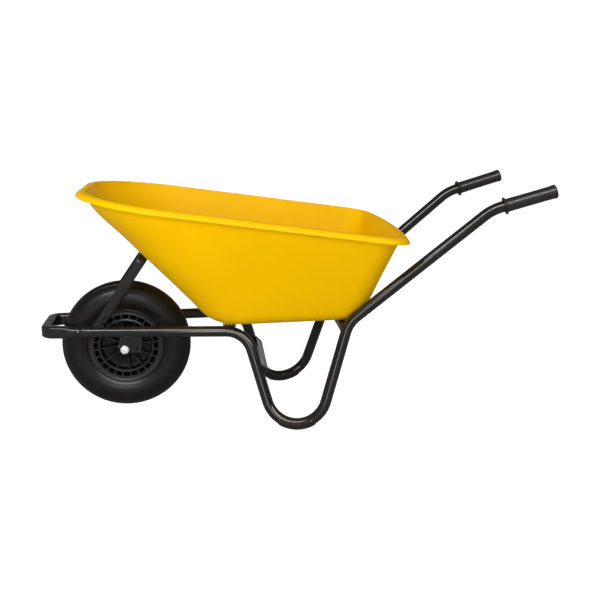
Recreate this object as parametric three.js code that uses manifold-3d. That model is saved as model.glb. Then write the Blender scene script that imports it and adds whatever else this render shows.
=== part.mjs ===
// A wheelbarrow: a moulded tray on two bent side tubes, with one air-filled wheel in front.
// Millimetres. +X runs from the wheel to the handles, +Y to the operator's right, +Z up.
// Everything is drawn with the axle at x = 0 and the ground at z = 0, then centred on x at the end.
import * as THREE from 'three';
import { mergeVertices } from 'three/addons/utils/BufferGeometryUtils.js';
import Module from 'manifold-3d';

const wasm = await Module();
wasm.setup();

// ---- driving dimensions ----
const gap = 0.3;                       // clearance left between neighbouring pieces
const sides = { left: -1, right: 1 };  // sign of y for each side of the frame

const tube = { radius: 16, wall: 1.5, facets: 12 };
const frame = {                        // corners of a side tube's centre line: x, half spacing, z
  bumper: new THREE.Vector3(-232, 82, 246),
  frontBend: new THREE.Vector3(358, 130.8, 267.5),
  foot: new THREE.Vector3(512, 298, -193),
  rearBend: new THREE.Vector3(652, 208, 315),
  gripBend: new THREE.Vector3(1041, 248, 659),
  gripEnd: new THREE.Vector3(1214, 262, 716),
  bendRadius: { front: 80, rear: 90, grip: 140 },
  bendSteps: { front: 4, foot: 14, rear: 3, grip: 3 },
  bumperJointX: -139,
};
const bumper = { width: 28, height: 36, wall: 2, corner: 7, bendRadius: 26, spigot: 26 };
const shoe = { thickness: 3.2, wrapDeg: 170, bendSteps: 6, flatDepth: 1.0 };
const grip = { radius: 19, flange: 25, endLip: 20, length: 152, endWall: 4, facets: 16 };

const tray = {
  floorRear: 708, floorHalf: 176, floorCorner: { front: 100, rear: 80 },
  rimRear: 768, rearBow: 32, rimHalf: 344, rimCorner: { front: 240, rear: 56 },
  front: [[0, 254], [0.17, 201], [0.38, 126], [0.69, 3], [0.93, -98], [1, -111]],  // level, x
  floorHeight: 290, floorSlope: 0.059, floorX: 325,   // floor plane: height at floorX and its rise
  rimHeight: 660, rimSlope: -0.101,                      // rim plane: height at x = 0 and its rise
  thickness: 4, sideThickness: 5, filletReach: 44, filletTop: 0.12,
  lipWidth: 16, lipDepth: 16, lipWall: 4, lipStretch: { front: 1.45, rear: 1.4 },
};

const wheel = { radius: 195, section: 49.5, casing: 7.5, facets: 32 };
const rim = {
  flangeRadius: 113.4, flangeFace: 40, flangeWall: 4, seatRadius: 101.4, wellRadius: 88, wall: 4,
  facets: 30, ringRadius: 81, hubRadius: 24, hubHalf: 45, boreRadius: 15,
  window: { count: 24, radius: 90.5, length: 13, width: 19.5 }, ribCount: 12, ribTurnDeg: 21.2,
};
const axle = {
  radius: 6, facets: 20, washerRadius: 11.7, washer: 2.5, capRadius: 12.7, capHeight: 9, capWall: 2.5,
};
const bracket = { front: -16, rear: 50, top: 246, bottom: 185, thickness: 4 };
const bolt = {
  radius: 4, headRadius: 9, headHeight: 4, washerRadius: 14, washer: 1.6, nutFlats: 13, nut: 6.5,
};

// ---- building closed meshes ----
const vec = (x, y, z) => new THREE.Vector3(x, y, z);
const upward = vec(0, 0, 1);

// Turns a list of rings with equal point counts into a closed body. Looped rings join last to
// first, as round a torus; otherwise each end ring is filled with a flat face.
function skin(rings, looped = false) {
  const count = rings[0].length;
  const index = [];
  const bands = looped ? rings.length : rings.length - 1;
  for (let i = 0; i < bands; i++) {
    const here = i * count;
    const next = ((i + 1) % rings.length) * count;
    for (let k = 0; k < count; k++) {
      const k2 = (k + 1) % count;
      index.push(here + k, here + k2, next + k2, here + k, next + k2, next + k);
    }
  }
  if (!looped) {
    const last = (rings.length - 1) * count;
    fillRing(rings[0]).forEach(([a, b, c]) => index.push(a, c, b));
    fillRing(rings.at(-1)).forEach(([a, b, c]) => index.push(last + a, last + b, last + c));
  }
  const geometry = new THREE.BufferGeometry();
  const positions = rings.flat().flatMap((p) => [p.x, p.y, p.z]);
  geometry.setAttribute('position', new THREE.Float32BufferAttribute(positions, 3));
  geometry.setIndex(index);
  return facingOut(mergeVertices(geometry, 1e-4));
}

// The triangles that fill a flat ring of points, as places in the ring.
function fillRing(ring) {
  const normal = vec(0, 0, 0);
  ring.forEach((p, i) => normal.add(p.clone().cross(ring[(i + 1) % ring.length])));
  const across = ring[1].clone().sub(ring[0]).normalize();
  const up = normal.normalize().cross(across);
  return THREE.ShapeUtils.triangulateShape(ring.map((p) => new THREE.Vector2(p.dot(across), p.dot(up))), []);
}

// Drops collapsed triangles, and turns every face round if the enclosed volume is negative.
function facingOut(geometry) {
  const position = geometry.getAttribute('position');
  const corner = (i) => new THREE.Vector3().fromBufferAttribute(position, i);
  const kept = [];
  let volume = 0;
  const index = geometry.getIndex().array;
  for (let i = 0; i < index.length; i += 3) {
    const [a, b, c] = [index[i], index[i + 1], index[i + 2]];
    if (a === b || b === c || c === a) continue;
    kept.push([a, b, c]);
    volume += corner(a).dot(corner(b).cross(corner(c)));
  }
  geometry.setIndex(kept.flatMap(([a, b, c]) => (volume < 0 ? [a, c, b] : [a, b, c])));
  return geometry;
}

// Points and tangents along straight runs joined by arcs, one radius per inner corner.
function filletedPath(corners, radii, steps) {
  const along = (i) => corners[i + 1].clone().sub(corners[i]).normalize();
  const path = [{ point: corners[0].clone(), tangent: along(0) }];
  radii.forEach((radius, i) => {
    const arriving = along(i);
    const leaving = along(i + 1);
    const turn = arriving.angleTo(leaving);
    const axis = arriving.clone().cross(leaving).normalize();
    const inward = leaving.clone().sub(arriving).normalize();
    const centre = corners[i + 1].clone().addScaledVector(inward, radius / Math.cos(turn / 2));
    for (let k = 0; k <= steps[i]; k++) {
      const tangent = arriving.clone().applyAxisAngle(axis, (turn * k) / steps[i]);
      const point = centre.clone().addScaledVector(tangent.clone().cross(axis), radius);
      path.push({ point, tangent });
    }
  });
  path.push({ point: corners.at(-1).clone(), tangent: along(corners.length - 2) });
  return path;
}

// Carries a flat outline of [across, up] points along a path without twisting it.
function sweep(path, outline, startUp) {
  const up = startUp.clone();
  return path.map(({ point, tangent }) => {
    up.addScaledVector(tangent, -up.dot(tangent)).normalize();
    const across = tangent.clone().cross(up);
    return outline.map(([a, b]) => point.clone().addScaledVector(across, a).addScaledVector(up, b));
  });
}

function circle(radius, count) {
  return Array.from({ length: count }, (_, k) => {
    const angle = (2 * Math.PI * (k + 0.5)) / count;
    return [radius * Math.cos(angle), radius * Math.sin(angle)];
  });
}

function roundedRectangle(width, height, corner, steps = 2) {
  const outline = [];
  for (let quarter = 0; quarter < 4; quarter++) {
    const signX = quarter === 0 || quarter === 3 ? 1 : -1;
    const signY = quarter < 2 ? 1 : -1;
    for (let k = 0; k <= steps; k++) {
      const angle = (Math.PI / 2) * (quarter + k / steps);
      outline.push([
        signX * (width / 2 - corner) + corner * Math.cos(angle),
        signY * (height / 2 - corner) + corner * Math.sin(angle),
      ]);
    }
  }
  return outline;
}

// A pipe: outer rings out along the path and inner rings back again.
function pipe(path, outer, inner, startUp) {
  return skin([...sweep(path, outer, startUp), ...sweep(path, inner, startUp).reverse()], true);
}

// A body of revolution about the line through `base` along `axis`; profile is [radius, height] pairs.
// A profile that starts and ends on the axis is solid, any other is a ring.
function turned(profile, base, axis, facets) {
  const turn = new THREE.Quaternion().setFromUnitVectors(upward, axis);
  const ring = (angle) => profile.map(([r, h]) =>
    vec(r * Math.cos(angle), r * Math.sin(angle), h).applyQuaternion(turn).add(base));
  const rings = Array.from({ length: facets }, (_, k) => ring((2 * Math.PI * k) / facets));
  return skin(rings, true);
}

// A washer or sleeve between two heights along its axis.
function sleeve(base, axis, inner, outer, from, to, facets) {
  return turned([[inner, from], [outer, from], [outer, to], [inner, to]], base, axis, facets);
}

function cylinder(base, axis, radius, from, to, facets) {
  const path = [from, to].map((h) => ({ point: base.clone().addScaledVector(axis, h), tangent: axis }));
  return skin(sweep(path, circle(radius, facets), Math.abs(axis.z) > 0.9 ? vec(1, 0, 0) : upward));
}

// A box with its centre, edge lengths and a turn about Y.
function block(centre, size, turnY = 0) {
  const geometry = new THREE.BoxGeometry(...size);
  geometry.deleteAttribute('normal');
  geometry.deleteAttribute('uv');
  geometry.rotateY(turnY).translate(...centre);
  return mergeVertices(geometry);
}

// A flat plate of even thickness from an [x, z] outline, lying across y from `low` to `high`.
function plate(outline, low, high) {
  return skin([low, high].map((y) => outline.map(([x, z]) => vec(x, y, z))));
}

function toSolid(geometry) {
  const merged = mergeVertices(geometry, 1e-4);
  const solid = new wasm.Mesh({
    numProp: 3,
    vertProperties: new Float32Array(merged.getAttribute('position').array),
    triVerts: new Uint32Array(merged.getIndex().array),
  });
  solid.merge();
  return new wasm.Manifold(solid);
}

function fromSolid(solid) {
  const mesh = solid.getMesh();
  const geometry = new THREE.BufferGeometry();
  geometry.setAttribute('position', new THREE.BufferAttribute(new Float32Array(mesh.vertProperties), 3));
  geometry.setIndex(new THREE.BufferAttribute(new Uint32Array(mesh.triVerts), 1));
  return geometry;
}

function cut(body, tools) {
  return fromSolid(tools.reduce((solid, tool) => solid.subtract(toSolid(tool)), toSolid(body)));
}

function join(body, others) {
  return fromSolid(others.reduce((solid, other) => solid.add(toSolid(other)), toSolid(body)));
}

// ---- side tubes, bumper, shoes and grips ----
const onSide = (point, side) => vec(point.x, point.y * side, point.z);

// Height and half spacing of the near-level front run of the side tubes at a given x.
function frontRun(x) {
  const along = (x - frame.bumper.x) / (frame.frontBend.x - frame.bumper.x);
  return frame.bumper.clone().lerp(frame.frontBend, along);
}

const jointPoint = frontRun(frame.bumperJointX);

// The foot bend's radius is the one that sets the shoe's flat on the ground.
function footRadius() {
  const down = frame.foot.clone().sub(frame.frontBend).normalize();
  const rise = frame.rearBend.clone().sub(frame.foot).normalize();
  const half = (Math.PI - down.angleTo(rise)) / 2;
  const inward = rise.clone().sub(down).normalize();
  const flatness = Math.sqrt(1 - down.clone().cross(rise).normalize().z ** 2);
  const lowest = tube.radius + gap + shoe.thickness - shoe.flatDepth;
  return (lowest - frame.foot.z) / (inward.z / Math.sin(half) - flatness);
}

const bendRadii = [frame.bendRadius.front, footRadius(), frame.bendRadius.rear, frame.bendRadius.grip];
const bendSteps = Object.values(frame.bendSteps);

function sidePath(side) {
  const corners = [jointPoint, frame.frontBend, frame.foot, frame.rearBend, frame.gripBend, frame.gripEnd];
  return filletedPath(corners.map((corner) => onSide(corner, side)), bendRadii, bendSteps);
}

function sideTube(side) {
  const outer = circle(tube.radius, tube.facets);
  const inner = circle(tube.radius - tube.wall, tube.facets);
  return pipe(sidePath(side), outer, inner, upward);
}

// A flattened tube bent into a U, with a round spigot inside the end of each side tube.
function frontBumper() {
  const { width, height, wall, corner, bendRadius, spigot } = bumper;
  const uPath = (endX) => {
    const end = frontRun(endX);
    const corners = [onSide(end, -1), onSide(frame.bumper, -1), onSide(frame.bumper, 1), onSide(end, 1)];
    return filletedPath(corners, [bendRadius, bendRadius], [4, 4]);
  };
  const endX = frame.bumperJointX - gap;
  const outside = skin(sweep(uPath(endX), roundedRectangle(width, height, corner), upward));
  const hollow = roundedRectangle(width - 2 * wall, height - 2 * wall, corner - wall);
  const inside = skin(sweep(uPath(endX - 4), hollow, upward));
  const bore = (tube.radius - tube.wall) * Math.cos(Math.PI / tube.facets) - gap;
  const stub = (side, radius, length) => {
    const backward = onSide(frame.frontBend, side).sub(onSide(frame.bumper, side)).normalize();
    return cylinder(onSide(frontRun(endX), side), backward, radius, -8, length, 16);
  };
  const both = (radius, length) => Object.values(sides).map((side) => stub(side, radius, length));
  return cut(join(outside, both(bore, spigot)), [inside, ...both(bore - 2.5, spigot + 5)]);
}

// A half shell under the foot bend, with its lowest part worn flat on the ground.
function footShoe(side) {
  const first = frame.bendSteps.front + 2 + (frame.bendSteps.foot - shoe.bendSteps) / 2;
  const arc = sidePath(side).slice(first, first + shoe.bendSteps + 1);
  const axis = arc[0].tangent.clone().cross(arc.at(-1).tangent).normalize();
  const wrap = THREE.MathUtils.degToRad(shoe.wrapDeg);
  const shell = ({ point, tangent }, radius) => {
    const outward = tangent.clone().cross(axis);
    return Array.from({ length: 9 }, (_, k) => {
      const angle = wrap * (k / 8 - 0.5);
      return point.clone()
        .addScaledVector(outward, radius * Math.cos(angle))
        .addScaledVector(axis, radius * Math.sin(angle));
    });
  };
  const inner = tube.radius + gap;
  const rings = arc.map((station) =>
    [...shell(station, inner + shoe.thickness), ...shell(station, inner).reverse()]);
  const lowest = arc[shoe.bendSteps / 2].point;
  return cut(skin(rings), [block([lowest.x, lowest.y, -20], [200, 200, 40])]);
}

function handleGrip(side) {
  const end = onSide(frame.gripEnd, side);
  const axis = end.clone().sub(onSide(frame.gripBend, side)).normalize();
  const closed = gap + grip.endWall;
  const start = closed - grip.length;
  const bore = (tube.radius + 0.2) / Math.cos(Math.PI / grip.facets);
  const profile = [
    [0, gap], [bore, gap], [bore, start], [grip.flange - 2, start], [grip.flange, start + 2],
    [grip.flange, start + 5], [grip.radius, start + 8], [grip.radius, closed - 10],
    [grip.endLip, closed - 7], [grip.endLip, closed - 2], [grip.endLip - 2, closed], [0, closed],
  ];
  return turned(profile, end, axis, grip.facets);
}

// ---- tray ----
const blend = (a, b, t) => a + (b - a) * t;
const floorAt = (x) => tray.floorHeight + tray.floorSlope * (x - tray.floorX);
const rimAt = (x) => tray.rimHeight + tray.rimSlope * x;

// Front edge of the tray at a level: 0 is the floor, 1 the rim.
function trayFront(level) {
  const next = tray.front.findIndex(([at]) => at >= level) || 1;
  const [[l0, x0], [l1, x1]] = [tray.front[next - 1], tray.front[next]];
  return blend(x0, x1, (level - l0) / (l1 - l0));
}

// The tray's plan outline at a level, grown by `grow` and raised by `lift`.
function trayRing(level, grow = 0, lift = 0) {
  const { lipStretch } = tray;
  const front = trayFront(level) - grow * (grow > 0 ? lipStretch.front : 1);
  const rear = blend(tray.floorRear, tray.rimRear, level) + grow * (grow > 0 ? lipStretch.rear : 1);
  const half = blend(tray.floorHalf, tray.rimHalf, level) + grow;
  const frontRadius = Math.max(blend(tray.floorCorner.front, tray.rimCorner.front, level) + grow, 5);
  const rearRadius = Math.max(blend(tray.floorCorner.rear, tray.rimCorner.rear, level) + grow, 5);
  const quarter = [];
  for (let k = 0; k <= 7; k++) {
    const angle = (Math.PI / 2) * (k / 7);
    quarter.push([front + frontRadius * (1 - Math.cos(angle)), half - frontRadius * (1 - Math.sin(angle))]);
  }
  quarter.push([(front + frontRadius + rear - rearRadius) / 2, half]);
  for (let k = 0; k <= 5; k++) {
    const angle = (Math.PI / 2) * (k / 5);
    quarter.push([rear - rearRadius * (1 - Math.sin(angle)), half - rearRadius * (1 - Math.cos(angle))]);
  }
  [0.62, 0.24].forEach((part) => quarter.push([rear, part * (half - rearRadius)]));
  // The rear edge bows outward, most at the rim and midway between the corners.
  const bowed = quarter.map(([x, y]) => {
    const nearness = Math.max(0, (x - rear + rearRadius + 40) / (rearRadius + 40));
    return [x + tray.rearBow * level ** 2 * nearness * (1 - Math.min(1, y / half) ** 2), y];
  });
  const mirrored = bowed.map(([x, y]) => [x, -y]).reverse();
  return [...bowed, ...mirrored].map(([x, y]) =>
    vec(x, y, blend(floorAt(x), rimAt(x), level) + lift));
}

// A fillet between the floor and the walls, as a quadratic curve through three outlines.
function filletRings(grow, lift) {
  const inset = trayRing(0, grow - tray.filletReach, lift);
  const corner = trayRing(0, grow, lift);
  const wall = trayRing(tray.filletTop, grow, 0);
  return [0, 0.25, 0.5, 0.75, 1].map((t) => inset.map((p, i) =>
    p.clone().multiplyScalar((1 - t) ** 2)
      .addScaledVector(corner[i], 2 * t * (1 - t))
      .addScaledVector(wall[i], t ** 2)));
}

function trayShell() {
  const { lipWidth, lipDepth, lipWall, sideThickness, thickness } = tray;
  const wallLevels = [0.38, 0.69, 0.93];
  const outside = [...filletRings(0, 0), ...wallLevels.map((level) => trayRing(level))];
  const lip = [
    trayRing(1, 0, -lipWall), trayRing(1, lipWidth - lipWall, -lipWall),
    trayRing(1, lipWidth - lipWall, -lipDepth), trayRing(1, lipWidth, -lipDepth),
    trayRing(1, lipWidth, -4), trayRing(1, lipWidth - 3, 0),
    trayRing(1, 2 - sideThickness, 0), trayRing(1, -sideThickness, -4),
  ];
  const inside = [
    ...filletRings(-sideThickness, thickness),
    ...wallLevels.map((level) => trayRing(level, -sideThickness)),
  ].reverse();
  return skin([...outside, ...lip, ...inside]);
}

// ---- what holds the tray up ----
const floorUp = vec(-tray.floorSlope, 0, 1).normalize();
const floorTurn = -Math.atan(tray.floorSlope);
const frontSupport = { x: 309, width: 38, thickness: 8.5, overhang: 10, boltY: 70 };
const rearSupport = { x: 631, drop: 23, reach: 30, wall: 3, boltX: 648, boltY: 95 };
const strut = { footX: -88, width: 28, depth: 12, wall: 3, bendRadius: 24, boltY: 48, topX: 60 };
const legBar = { x: 415, z: 163, halfLength: 172, width: 26, thickness: 5, tilt: 0.69 };

// The tray's front wall on the centre plane, as a point on its outside and the way it leans.
function frontWall(x) {
  const zAt = (level) => blend(floorAt(trayFront(level)), rimAt(trayFront(level)), level);
  const next = tray.front.findIndex(([, edge]) => edge <= x);
  const [low, high] = [tray.front[next - 1][0], tray.front[next][0]];
  const [a, b] = [vec(trayFront(low), 0, zAt(low)), vec(trayFront(high), 0, zAt(high))];
  const point = a.clone().lerp(b, (x - a.x) / (b.x - a.x));
  const lean = b.clone().sub(a).normalize();
  return { point, outward: vec(-lean.z, 0, lean.x).normalize() };
}

const wallSeat = frontWall(strut.topX);
const strutFoot = frontRun(strut.footX);
const strutRise = wallSeat.point.clone().sub(strutFoot).setY(0).normalize();
const strutNormal = vec(strutRise.z, 0, -strutRise.x);
// The bar stands off the wall just enough for its nearer edge to clear.
const strutStandOff = gap + (strut.width / 2) * Math.abs(strutNormal.dot(wallSeat.outward));
const strutTop = wallSeat.point.clone().addScaledVector(wallSeat.outward, strutStandOff);

// An upside-down U of channel: two legs on the side tubes and a bar under the front wall.
function frontStrut() {
  const legY = strutFoot.y;
  const foot = vec(strutFoot.x, legY, strutFoot.z);
  const corner = vec(strutTop.x, legY, strutTop.z);
  const corners = [onSide(foot, -1), onSide(corner, -1), corner, foot];
  const path = filletedPath(corners, [strut.bendRadius, strut.bendRadius], [5, 5]);
  const { width, depth, wall } = strut;
  const channel = [
    [0, -width / 2], [0, width / 2], [depth, width / 2], [depth, width / 2 - wall],
    [wall, width / 2 - wall], [wall, wall - width / 2], [depth, wall - width / 2], [depth, -width / 2],
  ];
  const body = skin(sweep(path, channel, strutNormal));
  const belowTube = block([strutFoot.x, 0, strutFoot.z - 20], [160, 300, 40]);
  const holes = boltSeats.strut.map((seat) => boltHole(seat, 20));
  return cut(body, [...tubeClearances(strut.footX), belowTube, ...holes, ...slotCutters()]);
}

// Cylinders a gap wider than the side tubes, near a given x on their front run.
function tubeClearances(x) {
  return Object.values(sides).map((side) => {
    const along = onSide(frame.frontBend, side).sub(onSide(frame.bumper, side)).normalize();
    return cylinder(onSide(frontRun(x), side), along, tube.radius + gap, -60, 60, 32);
  });
}

function boltHole({ point, axis }, reach) {
  return cylinder(point, axis, bolt.radius + 0.5, -reach, reach, 12);
}

// Two short slots low on each leg's outer web.
function slotCutters() {
  const turnY = Math.atan2(strutRise.x, strutRise.z);
  const places = [[52, 2, -0.2], [34, 6, 0.5]];  // height up the leg, shift across it, extra lean
  return Object.values(sides).flatMap((side) => places.map(([rise, shift, lean]) => {
    const at = vec(strutFoot.x, strutFoot.y * side, strutFoot.z)
      .addScaledVector(strutRise, rise).addScaledVector(strutNormal, shift);
    return block([at.x, at.y, at.z], [5, 8, 15], turnY + lean);
  }));
}

// A flat bar over both side tubes, under the front of the tray floor.
function traySupportFront() {
  const { x, width, thickness, overhang } = frontSupport;
  const top = vec(x, 0, floorAt(x)).addScaledVector(floorUp, -gap);
  const centre = top.addScaledVector(floorUp, -thickness / 2);
  const bar = block([centre.x, 0, centre.z], [width, 2 * (frontRun(x).y + overhang), thickness], floorTurn);
  return cut(bar, [...tubeClearances(x), ...boltSeats.front.map((seat) => boltHole(seat, 30))]);
}

// An angle bar between the side tubes, under the rear of the tray floor.
function traySupportRear() {
  const { x, drop, reach, wall } = rearSupport;
  const corner = vec(x, 0, floorAt(x)).addScaledVector(floorUp, -gap);
  const outline = [[0, 0], [0, -drop], [wall, -drop], [wall, -wall], [reach, -wall], [reach, 0]];
  const placed = outline.map(([along, up]) =>
    [corner.x + along * floorUp.z + up * floorUp.x, corner.z - along * floorUp.x + up * floorUp.z]);
  const bar = plate(placed, -frame.rearBend.y, frame.rearBend.y);
  return cut(bar, [...wideSideTubes(), ...boltSeats.rear.map((seat) => boltHole(seat, 30))]);
}

// Solid side tubes grown by the gap, to trim what is welded against them.
function wideSideTubes() {
  const outline = circle((tube.radius + gap) / Math.cos(Math.PI / tube.facets), tube.facets);
  return Object.values(sides).map((side) => skin(sweep(sidePath(side), outline, upward)));
}

// A tilted flat bar across the backs of the two front legs.
function legBrace() {
  const { x, z, halfLength, width, thickness, tilt } = legBar;
  return cut(block([x, 0, z], [width, 2 * halfLength, thickness], tilt), wideSideTubes());
}

// ---- tray fasteners ----
const boltSeats = {
  front: Object.values(sides).map((side) => ({
    point: vec(frontSupport.x, side * frontSupport.boltY, floorAt(frontSupport.x)),
    axis: floorUp, under: frontSupport.thickness + gap,
  })),
  rear: Object.values(sides).map((side) => ({
    point: vec(rearSupport.boltX, side * rearSupport.boltY, floorAt(rearSupport.boltX)),
    axis: floorUp, under: rearSupport.wall + gap,
  })),
  strut: Object.values(sides).map((side) => ({
    point: wallSeat.point.clone().setY(side * strut.boltY),
    axis: wallSeat.outward.clone().negate(), under: strut.wall + 2 * strutStandOff,
  })),
};
const allSeats = [...boltSeats.front, ...boltSeats.rear, ...boltSeats.strut];

function trayBody() {
  return cut(trayShell(), allSeats.map((seat) => boltHole(seat, 12)));
}

// Heights are measured along the bolt from the tray's outside face.
function boltHeights({ under }) {
  const washerLow = tray.thickness + 0.9;
  const washerHigh = washerLow + bolt.washer;
  const nutHigh = -under - gap;
  return { washerLow, washerHigh, headLow: washerHigh + gap, nutHigh, nutLow: nutHigh - bolt.nut };
}

function trayBolt(seat) {
  const { headLow, nutLow } = boltHeights(seat);
  const { radius, headRadius, headHeight } = bolt;
  const profile = [
    [0, nutLow - 4], [radius, nutLow - 4], [radius, headLow], [headRadius, headLow],
    [headRadius * 0.94, headLow + headHeight * 0.45], [headRadius * 0.6, headLow + headHeight * 0.85],
    [0, headLow + headHeight],
  ];
  return turned(profile, seat.point, seat.axis, 10);
}

function trayWasher(seat) {
  const { washerLow, washerHigh } = boltHeights(seat);
  return sleeve(seat.point, seat.axis, bolt.radius + 0.5, bolt.washerRadius, washerLow, washerHigh, 12);
}

// A hexagonal nut with a round bore.
function trayNut(seat) {
  const { nutLow, nutHigh } = boltHeights(seat);
  const cornerRadius = bolt.nutFlats / 2 / Math.cos(Math.PI / 6);
  const outer = cylinder(seat.point, seat.axis, cornerRadius, nutLow, nutHigh, 6);
  return cut(outer, [cylinder(seat.point, seat.axis, bolt.radius + 0.35, nutLow - 5, nutHigh + 5, 10)]);
}

// ---- axle ----
const axleCentre = vec(0, 0, wheel.radius);
const bracketOuter = frontRun(bracket.front).y - tube.radius - 1;
const bracketInner = bracketOuter - bracket.thickness;

// A plate on the inner face of each side tube that carries one end of the axle.
function axleBracket(side) {
  const { front, rear, top, bottom } = bracket;
  const outline = [
    [front, top], [front, bottom + 8], [front + 8, bottom], [rear - 3, bottom], [rear, bottom + 3],
    [rear, top],
  ];
  const holes = [[0, wheel.radius, axle.radius + 0.4], [36, wheel.radius + 2, 4]];
  return cut(plate(outline, side * bracketInner, side * bracketOuter), holes.map(([x, z, radius]) =>
    cylinder(vec(x, 0, z), vec(0, side, 0), radius, bracketInner - 5, bracketOuter + 5, 16)));
}

const capLow = bracketOuter + 2 * gap + axle.washer;
const capHigh = capLow + axle.capHeight;
const axleEnd = capHigh - axle.capWall - gap;

function axleRod() {
  return cylinder(axleCentre, vec(0, 1, 0), axle.radius, -axleEnd, axleEnd, axle.facets);
}

const bushEnd = rim.hubHalf + gap + 3;
const outwardOf = (side) => vec(0, side, 0);

function axleSpacer(side) {
  return sleeve(axleCentre, outwardOf(side), axle.radius + 0.4, 10, bushEnd + gap, bracketInner - gap, 16);
}

function axleWasher(side) {
  const low = bracketOuter + gap;
  const bore = axle.radius + 0.4;
  return sleeve(axleCentre, outwardOf(side), bore, axle.washerRadius, low, low + axle.washer, 20);
}

// A domed cap pushed over each end of the axle.
function axleCap(side) {
  const bore = axle.radius + 0.4;
  const profile = [
    [0, capHigh], [6, capHigh - 0.8], [10, capHigh - 3], [11.4, capLow + 2.5], [axle.capRadius, capLow + 2],
    [axle.capRadius, capLow], [bore, capLow], [bore, axleEnd + gap], [0, axleEnd + gap],
  ];
  return turned(profile, axleCentre, outwardOf(side), axle.facets);
}

// ---- wheel ----
const wheelAxis = vec(0, 1, 0);
const sectionCentre = wheel.radius - wheel.section;

// Points [radius, y] on a circle in the tyre's section, from one side of the opening to the other.
function sectionArc(radius, openDeg, steps) {
  const open = THREE.MathUtils.degToRad(openDeg);
  return Array.from({ length: steps + 1 }, (_, k) => {
    const angle = -Math.PI + open + (2 * (Math.PI - open) * k) / steps;
    return [sectionCentre + radius * Math.cos(angle), radius * Math.sin(angle)];
  });
}

// The tyre casing: open towards the rim, with a bead on each side.
function tyreCasing() {
  const beadOuter = rim.flangeFace - rim.flangeWall - gap;
  const seat = (rim.seatRadius + gap) / Math.cos(Math.PI / wheel.facets);
  const bead = (side) => [
    [seat + 12, side * beadOuter], [seat, side * beadOuter], [seat, side * (beadOuter - 9)],
  ];
  const profile = [
    ...bead(-1).reverse(), ...sectionArc(wheel.section, 52, 12), ...bead(1),
    ...sectionArc(wheel.section - wheel.casing, 46, 8).reverse(),
  ];
  return turned(profile, axleCentre, wheelAxis, wheel.facets);
}

// The valve stem leans outward through one window of the rim, `windowsOn` from the first.
const windowPitch = (2 * Math.PI) / rim.window.count;
const firstRib = THREE.MathUtils.degToRad(rim.ribTurnDeg);
const firstWindow = firstRib + windowPitch / 2;
const valve = { radius: 4, windowsOn: 5, start: [112.7, 0], end: [84.85, 46], wall: 2 };

function valveLine() {
  const angle = valve.windowsOn * windowPitch - firstWindow;
  const place = ([r, y]) => vec(r * Math.cos(angle), y, wheel.radius + r * Math.sin(angle));
  const [start, end] = [place(valve.start), place(valve.end)];
  return { start, axis: end.clone().sub(start).normalize(), length: start.distanceTo(end) };
}

function innerTube() {
  const outerRadius = wheel.section - wheel.casing - 4;
  const ringOf = (radius, facets) => circle(radius, facets).map(([a, b]) => [sectionCentre + a, b]);
  const outer = turned(ringOf(outerRadius, 10), axleCentre, wheelAxis, 24);
  const hollow = turned(ringOf(outerRadius - 2.5, 10), axleCentre, wheelAxis, 24);
  const { start, axis, length } = valveLine();
  const stem = cylinder(start, axis, valve.radius, 0, length, 10);
  const bore = cylinder(start, axis, valve.radius - valve.wall, -3, length + 5, 8);
  return fromSolid(toSolid(outer).add(toSolid(stem)).subtract(toSolid(hollow)).subtract(toSolid(bore)));
}

function valveCap() {
  const { start, axis, length } = valveLine();
  const inner = valve.radius + 0.3;
  const profile = [
    [0, length + gap], [inner, length + gap], [inner, length - 5], [inner + 1.2, length - 5],
    [inner + 1.2, length + 1], [inner + 0.4, length + 2], [0, length + 2],
  ];
  return turned(profile, start, axis, 10);
}

// One-piece moulded rim: barrel with bead seats, windowed face rings, web, ribs and hub.
function wheelRim() {
  const { flangeRadius, flangeFace, flangeWall, seatRadius, wellRadius, wall } = rim;
  const { ringRadius, hubRadius, hubHalf, boreRadius } = rim;
  const half = [
    [boreRadius, hubHalf], [hubRadius, hubHalf], [hubRadius + 3, 3], [ringRadius - wall, 3],
    [ringRadius - wall, 36], [ringRadius, 39], [flangeRadius - 17, 39], [flangeRadius - 10, flangeFace],
    [flangeRadius, flangeFace], [flangeRadius, flangeFace - flangeWall],
    [seatRadius, flangeFace - flangeWall], [seatRadius - 1, 22], [wellRadius, 14],
  ];
  const mirrored = half.map(([r, y]) => [r, -y]).reverse();
  const body = turned([...half, ...mirrored], axleCentre, wheelAxis, rim.facets);
  const pockets = [-1, 1].map((side) => turned([
    [ringRadius, side * 14], [wellRadius - wall, side * 14], [seatRadius - 5, side * 24],
    [seatRadius - 5, side * 35], [ringRadius, side * 35],
  ], axleCentre, wheelAxis, rim.facets));
  // `count` copies of a block round the axle on each side of the rim, the first one turned by `start`.
  const around = (count, start, [radius, y], size) =>
    [-1, 1].flatMap((side) => Array.from({ length: count }, (_, k) =>
      block([radius, side * y, 0], size)
        .rotateY(start + (2 * Math.PI * k) / count).translate(0, 0, wheel.radius)));
  const { count, radius, length, width } = rim.window;
  const windows = around(count, firstWindow, [radius, 37], [length, 8, width]);
  const ribMiddle = (hubRadius + ringRadius) / 2 - 1;
  const ribs = around(rim.ribCount, firstRib, [ribMiddle, 15], [ringRadius - hubRadius - 1, 26, 3]);
  const { start, axis } = valveLine();
  const stemHole = cylinder(start, axis, valve.radius + 1.2, 0, 45, 12);
  return cut(join(cut(body, [...pockets, ...windows]), ribs), [stemHole]);
}

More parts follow.
